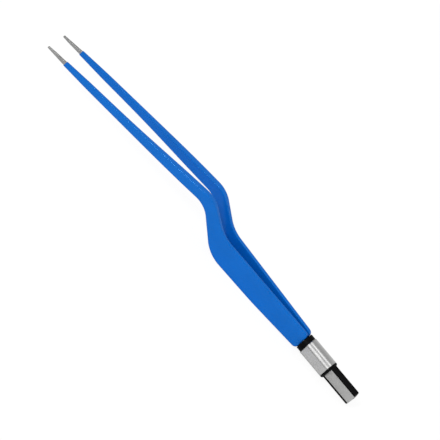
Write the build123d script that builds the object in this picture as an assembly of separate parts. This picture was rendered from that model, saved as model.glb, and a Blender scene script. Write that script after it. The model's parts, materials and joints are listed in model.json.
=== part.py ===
from build123d import *
from math import asin, degrees, radians, sin, tan
import os

# Bipolar forceps with a bayonet step: two sprung steel blades in nylon jackets, held in a round
# plug that ends in a flat tongue with one contact on each side. Sizes are in millimetres.
# The plug's mouth is at X = 0 while the pieces are made. The blades reach from it towards -X,
# spread in Y and step up in Z, so a reach is a distance in front of the mouth.

# Plug, from its mouth to its flange
collar_diameter = 8.4
collar_length = 2.5
sleeve_diameter = 8.9
sleeve_length = 13.5
sleeve_across_flats = 7.45
sleeve_flat_wall = 0.5
flange_length = 1.0
flange_slope = 0.6
edge_break = 0.2

# Tongue and its two flush contacts
tongue_length = 15.3
tongue_width = 7.45
tongue_thickness = 3.0
tongue_corner = 0.5
tongue_crown = 0.4
contact_width = 5.05
contact_thickness = 0.6
contact_tail_width = 3.6
contact_tail_thickness = 0.4

# Tang of each blade and the slot that it turns in
tang_length = 8.0
tang_width = 3.6
tang_thickness = 1.0
slot_clearance = 0.15
solder_gap = 0.3

# Steel blade seen from the side: the lengths of its handle, step and working section, and at each
# bend the rise of its middle, its height and how far the upper corner lies in front of the lower one
root_reach = 0.35
root_height = 9.43
root_corner = 1.9
belly_reach = 27.2
belly_depth = 5.86
handle_length = 54.5
handle_bend_rise = 0.2
handle_bend_height = 11.75
handle_bend_lean = 0.7
step_length = 15.55
step_height = 13.65
shank_bend_height = 5.25
shank_bend_lean = -1.15
working_length = 95.2
working_drop = 12.25
taper_length = 14.5
taper_height = 3.0
neck_height = 1.9
tip_height = 0.9
bare_tip_length = 10.3
belly_radius = 150.0
handle_low_radius = 15.0
handle_high_radius = 15.0
shank_low_radius = 10.5
shank_high_radius = 12.0
taper_radius = 150.0

# Steel blade seen from above
root_spacing = 2.6
spread_angle = 2.5
bow_delay = 11.6
tip_spacing = 12.1
handle_thickness = 1.2
shank_thickness = 2.1
middle_thickness = 1.45
neck_thickness = 1.0
tip_thickness = 0.7
pad_length = 4.0
pad_gap = 0.05
blade_edge = 0.15

# Nylon jacket round each blade
jacket_wall = 0.22
jacket_edge = 0.35

# Places along the blades, in front of the plug's mouth, and above its axis
shank_bend_reach = handle_length + step_length
tip_reach = shank_bend_reach + working_length
jacket_front_reach = tip_reach - bare_tip_length
bow_reach = shank_bend_reach + bow_delay
shank_bend_rise = handle_bend_rise + step_height
tip_rise = shank_bend_rise - working_drop
working_slope = working_drop / working_length
neck_rise = tip_rise + working_slope * bare_tip_length

# A blade turns about the plug's mouth until its pad stands half the pads' gap from the middle
squeeze_angle = degrees(asin((tip_spacing / 2 - tip_thickness / 2 - pad_gap) / tip_reach))

# Places along the plug, behind its mouth
spigot_diameter = sleeve_across_flats - 2 * sleeve_flat_wall
flange_start = collar_length + sleeve_length
tongue_start = flange_start + flange_length
slot_end = tang_length + solder_gap


def side_outline(wall):
    """Return the blade's outline seen from the side, back from the jacket's front, grown by a wall."""
    handle_mid = Vector(-handle_length, handle_bend_rise)
    handle_half = Vector(-handle_bend_lean / 2, handle_bend_height / 2 + wall)
    shank_mid = Vector(-shank_bend_reach, shank_bend_rise)
    shank_half = Vector(-shank_bend_lean / 2, shank_bend_height / 2 + wall)
    neck_mid = Vector(-jacket_front_reach, neck_rise)
    neck_half = Vector(0, neck_height / 2 + wall)
    taper_mid = neck_mid + Vector(taper_length, taper_length * working_slope)
    taper_half = Vector(0, taper_height / 2 + wall)
    root_half = root_height / 2 + wall
    corners = [
        neck_mid - neck_half,
        taper_mid - taper_half,
        shank_mid - shank_half,
        handle_mid - handle_half,
        Vector(-belly_reach, -belly_depth - wall),
        Vector(wall - root_reach, -root_half),
        Vector(wall - root_reach, root_half),
        handle_mid + handle_half,
        shank_mid + shank_half,
        taper_mid + taper_half,
        neck_mid + neck_half,
    ]
    root_round = root_corner + wall
    radii = [taper_radius, shank_low_radius, handle_low_radius, belly_radius, root_round, root_round]
    radii += [handle_high_radius, shank_high_radius, taper_radius]
    return make_face(FilletPolyline(*corners, radius=radii) + Line(corners[-1], corners[0]))


def middle_spread(reach):
    """Return how far the middle of a blade stands from the plug axis at a reach."""
    straight = root_spacing / 2 + reach * tan(radians(spread_angle))
    at_tip = root_spacing / 2 + tip_reach * tan(radians(spread_angle))
    bow = max(0, reach - bow_reach) / (tip_reach - bow_reach)
    return straight - (at_tip - tip_spacing / 2) * bow**2


def neck_side(wall):
    """Return the inner and the outer point of a blade at its jacket's front, seen from above."""
    middle = middle_spread(jacket_front_reach)
    half = neck_thickness / 2 + wall
    return (-jacket_front_reach, middle - half), (-jacket_front_reach, middle + half)


def top_outline(wall):
    """Return the right blade's outline seen from above, from the mouth to the jacket's front."""
    stations = [
        (handle_length, handle_thickness),
        (shank_bend_reach, shank_thickness),
        ((shank_bend_reach + jacket_front_reach) / 2, middle_thickness),
    ]
    inner = [(-reach, middle_spread(reach) - thick / 2 - wall) for reach, thick in stations]
    outer = [(-reach, middle_spread(reach) + thick / 2 + wall) for reach, thick in stations]
    neck_inner, neck_outer = neck_side(wall)
    inner.append(neck_inner)
    outer.append(neck_outer)
    root_half = handle_thickness / 2 + wall
    mouth = middle_spread(0)
    handle_inner = Line((0, mouth - root_half), inner[0])
    handle_outer = Line((0, mouth + root_half), outer[0])
    shank_inner = Spline(*inner, tangents=[handle_inner % 1, Vector(*inner[-1]) - Vector(*inner[-2])])
    shank_outer = Spline(*outer, tangents=[handle_outer % 1, Vector(*outer[-1]) - Vector(*outer[-2])])
    neck_edge = Line(neck_inner, neck_outer)
    mouth_edge = Line((0, mouth - root_half), (0, mouth + root_half))
    return make_face([handle_inner, shank_inner, neck_edge, shank_outer, handle_outer, mouth_edge])


def crossed(side, top):
    """Return the solid that shows one outline from the side and another from above."""
    depth = 2 * shank_bend_rise
    across = extrude(Plane.XZ * side, amount=-tip_spacing)
    return across & extrude(Pos(0, 0, -depth) * top, amount=2 * depth)


def long_edges(solid):
    """Return the edges that run the length of a blade, not those of its two ends."""
    return solid.edges().filter_by(lambda edge: abs(edge.tangent_at(0.5).X) > 0.6)


def make_tip():
    """Return the bare end of the right blade, tapered to a flat pad, with rounded edges."""
    neck_half = neck_height / 2
    tip_half = tip_height / 2
    side = [(-jacket_front_reach, neck_rise - neck_half), (-jacket_front_reach, neck_rise + neck_half)]
    side += [(-tip_reach, tip_rise + tip_half), (-tip_reach, tip_rise - tip_half)]
    neck_inner, neck_outer = neck_side(0)
    pad_face = (tip_spacing - tip_thickness) / 2
    pad_start = pad_face - pad_length * tan(radians(squeeze_angle))
    top = [neck_inner, (pad_length - tip_reach, pad_start), (-tip_reach, pad_face)]
    top += [(-tip_reach, pad_face + tip_thickness), neck_outer]
    tip = crossed(make_face(Polyline(*side, close=True)), make_face(Polyline(*top, close=True)))
    return fillet(long_edges(tip), blade_edge)


def make_tine():
    """Return the right blade of steel, in one piece from its tang to its tip."""
    blade = crossed(side_outline(0), top_outline(0))
    tang_reach = root_reach + handle_thickness
    align = (Align.MIN, Align.CENTER, Align.CENTER)
    tang = Box(tang_length + tang_reach, tang_thickness, tang_width, align=align)
    return blade + make_tip() + Pos(-tang_reach, root_spacing / 2, 0) * tang


def make_jacket(tine):
    """Return the right blade's nylon jacket, closed at the mouth and open at the tip."""
    outer = crossed(side_outline(jacket_wall), top_outline(jacket_wall))
    return fillet(long_edges(outer), jacket_edge) - tine


def rod(profile, start, length):
    """Return a solid with a profile across the plug axis, from a start along it."""
    return extrude(Plane.YZ.offset(start) * profile, amount=length)


def end_edges(solid, place):
    """Return the edges of a solid that lie in one plane across the plug axis."""
    return solid.edges().filter_by_position(Axis.X, place - 0.001, place + 0.001)


def make_collar():
    """Return the black collar round the mouth end of the plug's spigot."""
    ring = rod(Circle(collar_diameter / 2), 0, collar_length)
    ring = chamfer(end_edges(ring, 0), edge_break)
    return ring - rod(Circle(spigot_diameter / 2), 0, collar_length)


def make_sleeve():
    """Return the steel sleeve: a tube with a flat milled on each side."""
    outline = Circle(sleeve_diameter / 2) & Rectangle(sleeve_across_flats, sleeve_diameter)
    tube = rod(outline, collar_length, sleeve_length)
    tube = chamfer(end_edges(tube, collar_length) + end_edges(tube, flange_start), edge_break)
    return tube - rod(Circle(spigot_diameter / 2), collar_length, sleeve_length)


def make_tongue():
    """Return the flat tongue behind the flange, with a slightly curved end."""
    half = tongue_width / 2
    end = tongue_start + tongue_length
    corner = end - tongue_crown
    side = Polyline((corner, half), (tongue_start, half), (tongue_start, -half), (corner, -half))
    crown = ThreePointArc((corner, -half), (end, 0), (corner, half))
    tongue = extrude(Plane.XZ * make_face(side + crown), amount=tongue_thickness / 2, both=True)
    corners = tongue.edges().filter_by(Axis.Y).group_by(Axis.X)[-1]
    return fillet(corners, tongue_corner)


def make_contact(tongue):
    """Return the right contact: a flush plate on the tongue with a narrow tail to the slot."""
    inner_face = tongue_thickness / 2 - contact_thickness
    tail = rod(Rectangle(contact_tail_thickness, contact_tail_width), slot_end, tongue_start - slot_end)
    plate = rod(Rectangle(contact_thickness, contact_width), tongue_start, tongue_length)
    tail = Pos(0, inner_face + contact_tail_thickness / 2, 0) * tail
    return tail + (Pos(0, inner_face + contact_thickness / 2, 0) * plate & tongue)


def make_slot():
    """Return the space in which the right blade's tang turns."""
    swing = tang_length * sin(radians(squeeze_angle))
    inner = root_spacing / 2 - tang_thickness / 2 - slot_clearance
    outer = root_spacing / 2 + tang_thickness / 2 + slot_clearance + swing
    profile = Pos((inner + outer) / 2, 0) * Rectangle(outer - inner, tang_width + 2 * slot_clearance)
    return rod(profile, 0, slot_end)


def make_plug_body(tongue, contact):
    """Return the moulded core: spigot, flange and tongue, with slots and contact seats."""
    spigot = rod(Circle(spigot_diameter / 2), 0, flange_start)
    flange = rod(Circle(sleeve_diameter / 2), flange_start, flange_length)
    flange = chamfer(end_edges(flange, tongue_start), flange_slope)
    tongue = chamfer(tongue.edges().filter_by(Axis.X), edge_break)
    slot = make_slot()
    body = spigot + flange + tongue
    body -= contact + mirror(contact, about=Plane.XZ)
    return body - slot - mirror(slot, about=Plane.XZ)


tine = make_tine()
jacket = make_jacket(tine)
tongue = make_tongue()
contact = make_contact(tongue)
pieces = {
    "plug_body": make_plug_body(tongue, contact),
    "front_collar": make_collar(),
    "plug_sleeve": make_sleeve(),
    "right_contact": contact,
    "left_contact": mirror(contact, about=Plane.XZ),
    "right_tine": tine,
    "left_tine": mirror(tine, about=Plane.XZ),
    "right_jacket": jacket,
    "left_jacket": mirror(jacket, about=Plane.XZ),
}

# The forceps stands on the lower edges of its blades: the origin is the bottom centre of its box
box = Compound(list(pieces.values())).bounding_box()
stand = Pos(-box.center().X, 0, -box.min.Z)
for name, piece in pieces.items():
    export_step(stand * piece, f"parts/{name}.step")
print("mouth of the plug:", stand.position, "squeeze:", round(squeeze_angle, 4))
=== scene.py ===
import json
import math

import bmesh
import bpy
from mathutils import Matrix, Vector

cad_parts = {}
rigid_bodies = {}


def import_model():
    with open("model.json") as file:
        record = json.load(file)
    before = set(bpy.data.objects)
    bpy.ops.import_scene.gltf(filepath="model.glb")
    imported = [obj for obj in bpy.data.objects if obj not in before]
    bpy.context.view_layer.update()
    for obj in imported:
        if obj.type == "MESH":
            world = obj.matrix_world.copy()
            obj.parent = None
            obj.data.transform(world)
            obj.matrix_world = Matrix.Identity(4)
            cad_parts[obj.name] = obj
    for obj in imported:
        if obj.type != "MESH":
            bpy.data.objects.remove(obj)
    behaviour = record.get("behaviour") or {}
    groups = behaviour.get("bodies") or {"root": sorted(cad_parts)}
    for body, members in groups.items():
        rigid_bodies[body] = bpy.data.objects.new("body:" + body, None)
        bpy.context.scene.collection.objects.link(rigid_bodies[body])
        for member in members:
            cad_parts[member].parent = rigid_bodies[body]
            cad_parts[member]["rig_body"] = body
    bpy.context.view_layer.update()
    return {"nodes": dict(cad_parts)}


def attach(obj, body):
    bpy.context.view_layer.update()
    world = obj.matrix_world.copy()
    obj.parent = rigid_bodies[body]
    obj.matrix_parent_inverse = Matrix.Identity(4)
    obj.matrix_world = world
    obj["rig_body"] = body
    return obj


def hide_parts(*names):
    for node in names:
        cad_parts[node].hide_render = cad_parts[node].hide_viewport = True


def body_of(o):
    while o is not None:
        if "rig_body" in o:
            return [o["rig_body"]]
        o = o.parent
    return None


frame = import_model()

# Camera: it looks down on the left blade from 41 degrees above the table, a little from the plug's
# side, through a long lens. It is rolled until the plug axis runs down the picture to the right.
# Pixels are counted from the picture's upper left corner.
towards_camera = Vector((0.065, -0.752, 0.654)).normalized()
axis_turn = math.radians(-49.95)
picture_pixels = 440
pixels_per_metre = 2358
lens, sensor = 800.0, 36.0
clip_end = 10
object_middle = Vector((0, 0, 0.00666))
object_pixel = Vector((204.15, 220.2))

along = (Vector((1, 0, 0)) - towards_camera * towards_camera.x).normalized()
across = towards_camera.cross(along)
right = along * math.cos(axis_turn) - across * math.sin(axis_turn)
up = along * math.sin(axis_turn) + across * math.cos(axis_turn)
picture_width = picture_pixels / pixels_per_metre
shift = (Vector((picture_pixels / 2, picture_pixels / 2)) - object_pixel) / pixels_per_metre
aim = object_middle + right * shift.x - up * shift.y
distance = picture_width * lens / sensor

camera_data = bpy.data.cameras.new("camera")
camera_data.lens = lens
camera_data.sensor_width = sensor
camera_data.clip_end = clip_end
camera = bpy.data.objects.new("camera", camera_data)
place = Matrix.Translation(aim + towards_camera * distance)
camera.matrix_world = place @ Matrix((right, up, towards_camera)).transposed().to_4x4()
bpy.context.collection.objects.link(camera)
bpy.context.scene.camera = camera

# Blade jackets: two mirrored skins of blue nylon, 0.2 mm thick, coated on the steel blades from the
# plug to 10 mm short of the tips. The coat flowed before it set, so it has rounded edges, a faint
# orange peel and a slightly uneven gloss. Each is a smooth copy of its solid.


def fill(tree, socket, value):
    """Give a socket a fixed value or a link."""
    if isinstance(value, bpy.types.NodeSocket):
        tree.links.new(value, socket)
    else:
        socket.default_value = value


def add_node(tree, kind, inputs, **options):
    """Add a shader node, set its options and fill its inputs, named or numbered."""
    node = tree.nodes.new("ShaderNode" + kind)
    for name, value in options.items():
        setattr(node, name, value)
    for name, value in inputs.items():
        fill(tree, node.inputs[name], value)
    return node


def new_group(name, inputs, outputs):
    """Return a new shader group with its input and output nodes."""
    group = bpy.data.node_groups.new(name, "ShaderNodeTree")
    for label, (kind, value) in inputs.items():
        socket = group.interface.new_socket(label, in_out="INPUT", socket_type="NodeSocket" + kind)
        socket.default_value = value
    for label, kind in outputs.items():
        group.interface.new_socket(label, in_out="OUTPUT", socket_type="NodeSocket" + kind)
    return group, group.nodes.new("NodeGroupInput").outputs, group.nodes.new("NodeGroupOutput").inputs


def noise_over(tree, size, detail):
    """Return noise of a given feature size over the piece's own space."""
    coordinates = add_node(tree, "TexCoord", {})
    spot = add_node(tree, "VectorMath", {0: coordinates.outputs["Object"], 1: size}, operation="DIVIDE")
    noise = add_node(tree, "TexNoise", {"Vector": spot.outputs[0], "Scale": 1.0, "Detail": detail})
    return noise.outputs["Fac"]


def graded(tree, noise, low, high):
    """Stretch the middle of a noise to run from a low to a high value."""
    inputs = {"Value": noise, "From Min": 0.3, "From Max": 0.7, "To Min": low, "To Max": high}
    return add_node(tree, "MapRange", inputs).outputs[0]


def make_worked_surface():
    """Return the group for a fine grain: its value, its bumps on a softened normal, and the edges."""
    group, given, result = new_group(
        "worked_surface",
        {
            "Grain Size": ("Vector", (0.001, 0.001, 0.001)),
            "Grain Depth": ("Float", 0.000002),
            "Edge Round": ("Float", 0.00005),
            "Edge Width": ("Float", 0.0002),
        },
        {"Grain": "Float", "Normal": "Vector", "Edge": "Float"},
    )
    bevel_samples = 6
    same_on_a_flat, same_on_an_edge = 0.995, 0.85
    grain = noise_over(group, given["Grain Size"], detail=3.0)
    rounded = add_node(group, "Bevel", {"Radius": given["Edge Round"]}, samples=bevel_samples)
    bumps = add_node(
        group,
        "Bump",
        {
            "Strength": 1.0,
            "Distance": given["Grain Depth"],
            "Height": grain,
            "Normal": rounded.outputs[0],
        },
    )
    wide = add_node(group, "Bevel", {"Radius": given["Edge Width"]}, samples=bevel_samples)
    plain = add_node(group, "NewGeometry", {})
    same = add_node(
        group, "VectorMath", {0: wide.outputs[0], 1: plain.outputs["Normal"]}, operation="DOT_PRODUCT"
    )
    edge = add_node(
        group,
        "MapRange",
        {"Value": same.outputs["Value"], "From Min": same_on_a_flat, "From Max": same_on_an_edge},
        interpolation_type="SMOOTHSTEP",
    )
    fill(group, result["Grain"], grain)
    fill(group, result["Normal"], bumps.outputs[0])
    fill(group, result["Edge"], edge.outputs[0])
    return group


def make_mottle():
    """Return the group for slow patches: a value between two bounds that wanders over a surface."""
    group, given, result = new_group(
        "mottle",
        {
            "Patch Size": ("Vector", (0.01, 0.01, 0.01)),
            "Low": ("Float", 0.0),
            "High": ("Float", 1.0),
        },
        {"Value": "Float"},
    )
    patches = noise_over(group, given["Patch Size"], detail=2.0)
    fill(group, result["Value"], graded(group, patches, given["Low"], given["High"]))
    return group


worked_surface = make_worked_surface()
mottle = make_mottle()


def use_group(tree, group, **inputs):
    """Add a group to a material and return its outputs. Input names are written with underscores."""
    node = tree.nodes.new("ShaderNodeGroup")
    node.node_tree = group
    for name, value in inputs.items():
        fill(tree, node.inputs[name.replace("_", " ").title()], value)
    return node.outputs


def blended(tree, share, first, second):
    """Return the colour between two colours at a share."""
    mix = add_node(tree, "Mix", {"Factor": share}, data_type="RGBA")
    colours = [socket for socket in mix.inputs if socket.type == "RGBA"]
    fill(tree, colours[0], first)
    fill(tree, colours[1], second)
    return next(socket for socket in mix.outputs if socket.type == "RGBA")


def new_material(name):
    """Return a new material with its node tree and its shader's inputs."""
    material = bpy.data.materials.new(name)
    material.use_nodes = True
    return material, material.node_tree, material.node_tree.nodes["Principled BSDF"].inputs


def smooth_copy(name, material):
    """Add a smooth copy of a CAD node, which rides its body and stands for it."""
    same_point = 1e-7
    sharpest_smooth_edge = math.radians(32)
    node = frame["nodes"][name]
    mesh = bpy.data.meshes.new(name + "_skin")
    corners = [node.matrix_world @ vertex.co for vertex in node.data.vertices]
    mesh.from_pydata(corners, [], [list(face.vertices) for face in node.data.polygons])
    merged = bmesh.new()
    merged.from_mesh(mesh)
    bmesh.ops.remove_doubles(merged, verts=merged.verts, dist=same_point)
    bmesh.ops.dissolve_degenerate(merged, edges=merged.edges, dist=same_point)
    merged.to_mesh(mesh)
    merged.free()
    mesh.shade_smooth()
    mesh.set_sharp_from_angle(angle=sharpest_smooth_edge)
    mesh.materials.append(material)
    copy = bpy.data.objects.new(name + "_skin", mesh)
    bpy.context.collection.objects.link(copy)
    flats = copy.modifiers.new("flats_stay_flat", "WEIGHTED_NORMAL")
    flats.keep_sharp = True
    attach(copy, body_of(node)[0])
    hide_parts(name)


jacket_blue, tree, shader = new_material("jacket_blue")
peel = use_group(
    tree,
    worked_surface,
    grain_size=(0.0009, 0.0009, 0.0009),
    grain_depth=0.0000007,
    edge_round=0.0006,
)
tint = use_group(tree, mottle, patch_size=(0.014, 0.006, 0.006))
deep_blue = (0.001, 0.133, 0.55, 1)
full_blue = (0.0014, 0.147, 0.605, 1)
rubbed_blue = (0.006, 0.185, 0.68, 1)
rubbed_share = 0.3
body_colour = blended(tree, tint["Value"], deep_blue, full_blue)
rubbed = add_node(tree, "Math", {0: peel["Edge"], 1: rubbed_share}, operation="MULTIPLY")
fill(tree, shader["Base Color"], blended(tree, rubbed.outputs[0], body_colour, rubbed_blue))
gloss = use_group(tree, mottle, patch_size=(0.004, 0.002, 0.002), low=0.14, high=0.2)
fill(tree, shader["Roughness"], gloss["Value"])
fill(tree, shader["Normal"], peel["Normal"])
shader["Specular IOR Level"].default_value = 0.5
shader["Specular Tint"].default_value = (0.2, 0.55, 1.0, 1)
for side in ("left", "right"):
    smooth_copy(side + "_jacket", jacket_blue)

# Blades: two mirrored springs of stainless steel, each in one piece from its tang in the plug to its
# tapered tip. Only the tips show: they are ground along their length and left satin, with edges
# that handling has polished.

blade_steel, tree, shader = new_material("blade_steel")
ground = use_group(
    tree,
    worked_surface,
    grain_size=(0.004, 0.00008, 0.00008),
    grain_depth=0.0000015,
    edge_round=0.00006,
)
cloud = use_group(tree, mottle, patch_size=(0.005, 0.002, 0.002))
dark_satin = (0.32, 0.32, 0.32, 1)
light_satin = (0.42, 0.42, 0.415, 1)
polished_edge = (0.62, 0.62, 0.61, 1)
body_colour = blended(tree, cloud["Value"], dark_satin, light_satin)
fill(tree, shader["Base Color"], blended(tree, ground["Edge"], body_colour, polished_edge))
fill(tree, shader["Roughness"], graded(tree, ground["Grain"], 0.28, 0.42))
fill(tree, shader["Normal"], ground["Normal"])
shader["Metallic"].default_value = 1.0
for side in ("left", "right"):
    smooth_copy(side + "_tine", blade_steel)

# Plug sleeve: a short tube of stainless steel with a flat milled on each side, pressed on the black
# core. Its round parts are turned, so they carry fine rings, and its flats are milled and a little
# lighter. Its edges carry painted shade: dark lines that stand in for the dark reflections along them.

sleeve_steel, tree, shader = new_material("sleeve_steel")
turned = use_group(
    tree,
    worked_surface,
    grain_size=(0.00006, 0.003, 0.003),
    grain_depth=0.000001,
    edge_round=0.00006,
    edge_width=0.0006,
)
cloud = use_group(tree, mottle, patch_size=(0.004, 0.004, 0.004))
dark_turned, light_turned = (0.53, 0.53, 0.53, 1), (0.6, 0.6, 0.595, 1)
dark_milled, light_milled = (0.56, 0.56, 0.56, 1), (0.62, 0.62, 0.615, 1)
# painted shade: a dark colour laid along the sleeve's edges in place of the dark reflections there
painted_edge_shade = (0.17, 0.17, 0.17, 1)
squarely_sideways = 0.99
edge_shade_gain = 5.0
turned_colour = blended(tree, cloud["Value"], dark_turned, light_turned)
milled_colour = blended(tree, cloud["Value"], dark_milled, light_milled)
facing = add_node(tree, "SeparateXYZ", {0: add_node(tree, "NewGeometry", {}).outputs["Normal"]})
sideways = add_node(tree, "Math", {0: facing.outputs["Y"]}, operation="ABSOLUTE")
flat = add_node(tree, "Math", {0: sideways.outputs[0], 1: squarely_sideways}, operation="GREATER_THAN")
body_colour = blended(tree, flat.outputs[0], turned_colour, milled_colour)
# the edge mask, strengthened, lays the painted shade along the sleeve's edges
edge_shade_share = add_node(tree, "Math", {0: turned["Edge"], 1: edge_shade_gain}, operation="MULTIPLY", use_clamp=True)
fill(tree, shader["Base Color"], blended(tree, edge_shade_share.outputs[0], body_colour, painted_edge_shade))
fill(tree, shader["Roughness"], graded(tree, turned["Grain"], 0.18, 0.28))
fill(tree, shader["Normal"], turned["Normal"])
shader["Metallic"].default_value = 1.0
smooth_copy("plug_sleeve", sleeve_steel)

# Contacts: a plate of nickelled metal flush in each broad side of the tongue. Sockets have wiped
# them lengthwise, which left fine scratches of uneven gloss and brighter edges.

contact_metal, tree, shader = new_material("contact_metal")
wiped = use_group(
    tree,
    worked_surface,
    grain_size=(0.006, 0.00012, 0.00012),
    grain_depth=0.000001,
    edge_round=0.00004,
)
cloud = use_group(tree, mottle, patch_size=(0.006, 0.003, 0.003))
dark_plate = (0.47, 0.47, 0.465, 1)
light_plate = (0.56, 0.56, 0.555, 1)
wiped_edge = (0.66, 0.66, 0.65, 1)
body_colour = blended(tree, cloud["Value"], dark_plate, light_plate)
fill(tree, shader["Base Color"], blended(tree, wiped["Edge"], body_colour, wiped_edge))
fill(tree, shader["Roughness"], graded(tree, wiped["Grain"], 0.3, 0.45))
fill(tree, shader["Normal"], wiped["Normal"])
shader["Metallic"].default_value = 1.0
for side in ("left", "right"):
    smooth_copy(side + "_contact", contact_metal)

# Plug core and collar: black resin. The core is one moulding with the spigot, the flange and the
# tongue, and the collar is a ring pushed on its front. Both are satin, with greyer rubbed edges.

plug_black, tree, shader = new_material("plug_black")
moulded = use_group(
    tree,
    worked_surface,
    grain_size=(0.0004, 0.0004, 0.0004),
    grain_depth=0.0000015,
    edge_round=0.00006,
)
cloud = use_group(tree, mottle, patch_size=(0.005, 0.005, 0.005))
deep_black = (0.0016, 0.0016, 0.002, 1)
full_black = (0.0026, 0.0026, 0.0032, 1)
rubbed_black = (0.01, 0.01, 0.011, 1)
body_colour = blended(tree, cloud["Value"], deep_black, full_black)
rubbed = add_node(tree, "Math", {0: moulded["Edge"], 1: rubbed_share}, operation="MULTIPLY")
fill(tree, shader["Base Color"], blended(tree, rubbed.outputs[0], body_colour, rubbed_black))
gloss = use_group(tree, mottle, patch_size=(0.002, 0.002, 0.002), low=0.34, high=0.46)
fill(tree, shader["Roughness"], gloss["Value"])
fill(tree, shader["Normal"], moulded["Normal"])
shader["Specular IOR Level"].default_value = 0.05
for name in ("plug_body", "front_collar"):
    smooth_copy(name, plug_black)

# Floor: a pale matt sheet far larger than the picture. The camera sees it close to white, with the
# object's soft shadow kept, and the object sees it as it is.

floor_half = 3.0
floor_glow = 0.85
glow_strength = 1.06
corners = [(-floor_half, -floor_half, 0), (floor_half, -floor_half, 0)]
corners += [(floor_half, floor_half, 0), (-floor_half, floor_half, 0)]
floor_mesh = bpy.data.meshes.new("floor")
floor_mesh.from_pydata(corners, [], [(0, 1, 2, 3)])
floor = bpy.data.objects.new("floor", floor_mesh)
bpy.context.collection.objects.link(floor)
floor_white, tree, shader = new_material("floor_white")
shader["Base Color"].default_value = (0.85, 0.85, 0.85, 1)
shader["Roughness"].default_value = 0.9
shader["Specular IOR Level"].default_value = 0.0
floor_mesh.materials.append(floor_white)
ray = add_node(tree, "LightPath", {})
share = add_node(tree, "Math", {0: ray.outputs["Is Camera Ray"], 1: floor_glow}, operation="MULTIPLY")
glow = add_node(tree, "Emission", {"Strength": glow_strength})
matt = tree.nodes["Principled BSDF"].outputs[0]
sheet = add_node(tree, "MixShader", {0: share.outputs[0], 1: matt, 2: glow.outputs[0]})
fill(tree, tree.nodes["Material Output"].inputs["Surface"], sheet.outputs[0])

# Studio: pale walls that get greyer towards the ceiling, with a dark patch where the photographer
# stands. A softbox overhead and the lamps in front draw the two lights along the plug sleeve, and a
# strip lamp in front on the left draws the thin lights on the ridges of the jackets.

wall_light, ceiling_light = 0.7, 0.52
wall_top, ceiling_top = 0.2, 1.0
patch_towards = Vector((0.0, -0.88, 0.47)).normalized()
patch_light = 0.45
patch_rim, patch_core = 0.95, 0.985
lamp_reach = 1.1
world = bpy.data.worlds.new("studio")
world.use_nodes = True
bpy.context.scene.world = world
tree = world.node_tree
background = tree.nodes["Background"]
coordinates = add_node(tree, "TexCoord", {})
split = add_node(tree, "SeparateXYZ", {0: coordinates.outputs["Generated"]})
wall = add_node(
    tree,
    "MapRange",
    {
        "Value": split.outputs["Z"],
        "From Min": wall_top,
        "From Max": ceiling_top,
        "To Min": wall_light,
        "To Max": ceiling_light,
    },
    interpolation_type="SMOOTHSTEP",
)
toward = add_node(
    tree, "VectorMath", {0: coordinates.outputs["Generated"], 1: patch_towards}, operation="DOT_PRODUCT"
)
patch = add_node(
    tree,
    "MapRange",
    {
        "Value": toward.outputs["Value"],
        "From Min": patch_rim,
        "From Max": patch_core,
        "To Min": 1.0,
        "To Max": patch_light,
    },
    interpolation_type="SMOOTHSTEP",
)
studio = add_node(tree, "Math", {0: wall.outputs[0], 1: patch.outputs[0]}, operation="MULTIPLY")
ray = add_node(tree, "LightPath", {})
seen = add_node(
    tree, "MapRange", {"Value": ray.outputs["Is Camera Ray"], "To Min": studio.outputs[0], "To Max": 1.0}
)
fill(tree, background.inputs["Strength"], seen.outputs[0])
background.inputs["Color"].default_value = (1, 1, 1, 1)


def softbox(name, towards, width, height, power):
    """Add a flat lamp in a direction from the object, facing it."""
    data = bpy.data.lights.new(name, "AREA")
    data.shape = "RECTANGLE"
    data.size = width
    data.size_y = height
    data.energy = power
    lamp = bpy.data.objects.new(name, data)
    lamp.location = Vector(towards).normalized() * lamp_reach
    lamp.rotation_euler = (-lamp.location).to_track_quat("-Z", "Y").to_euler()
    bpy.context.collection.objects.link(lamp)


softbox("front_softbox", (-0.065, -0.73, 0.68), 0.32, 0.32, 0.12)
softbox("top_softbox", (-0.065, -0.02, 1.0), 0.36, 0.36, 0.55)
softbox("strip_lamp", (-0.215, -0.62, 0.72), 0.06, 0.4, 5.0)

bpy.context.scene.view_settings.view_transform = "Standard"
